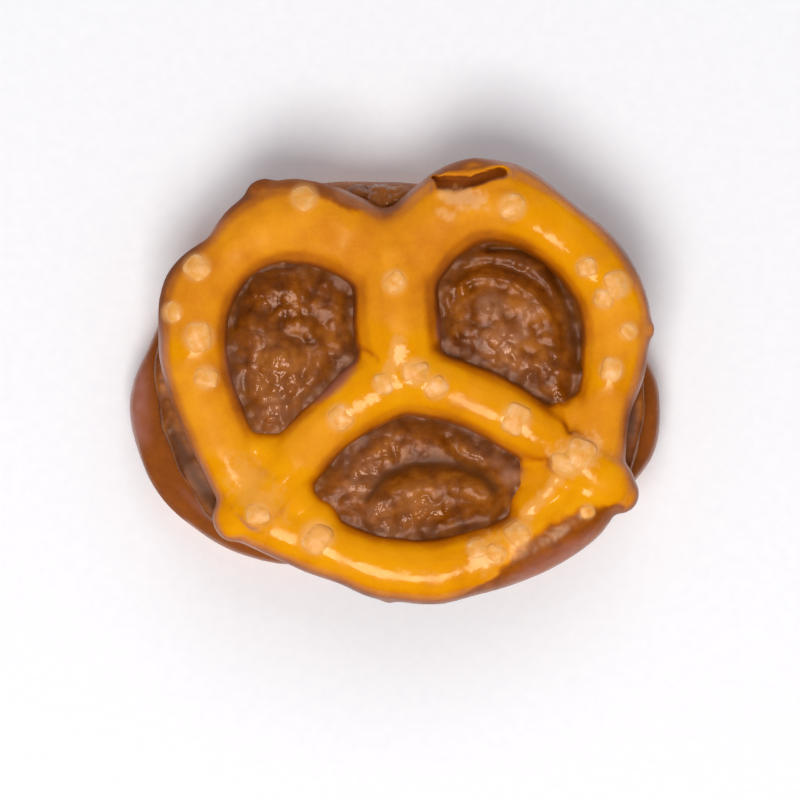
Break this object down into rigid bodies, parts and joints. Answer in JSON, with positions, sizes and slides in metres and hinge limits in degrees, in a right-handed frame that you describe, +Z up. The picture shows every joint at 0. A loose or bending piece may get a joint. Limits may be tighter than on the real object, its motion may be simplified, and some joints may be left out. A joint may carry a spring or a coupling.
{
  "type": "filled pretzel sandwich",
  "caption": "Bite-size snack: small salted pretzels pressed together, flat sides inwards, round a soft brown filling that also stands in their holes.",
  "frame": {"origin": "middle of the object's box, on the surface it lies on", "axes": "+X to the picture's right, +Y to the picture's top, +Z up through the sandwich"},
  "size_m": [0.0428, 0.0356, 0.0135],
  "materials": {
    "crust": "glazed baked crust, golden brown, darker at the flanks, with coarse salt",
    "filling": "soft milk-chocolate brown paste, uneven and slightly glossy"
  },
  "bodies": {
    "root": {"top_pretzel": "crust", "bottom_pretzel": "crust", "filling": "filling"}
  },
  "joints": []
}
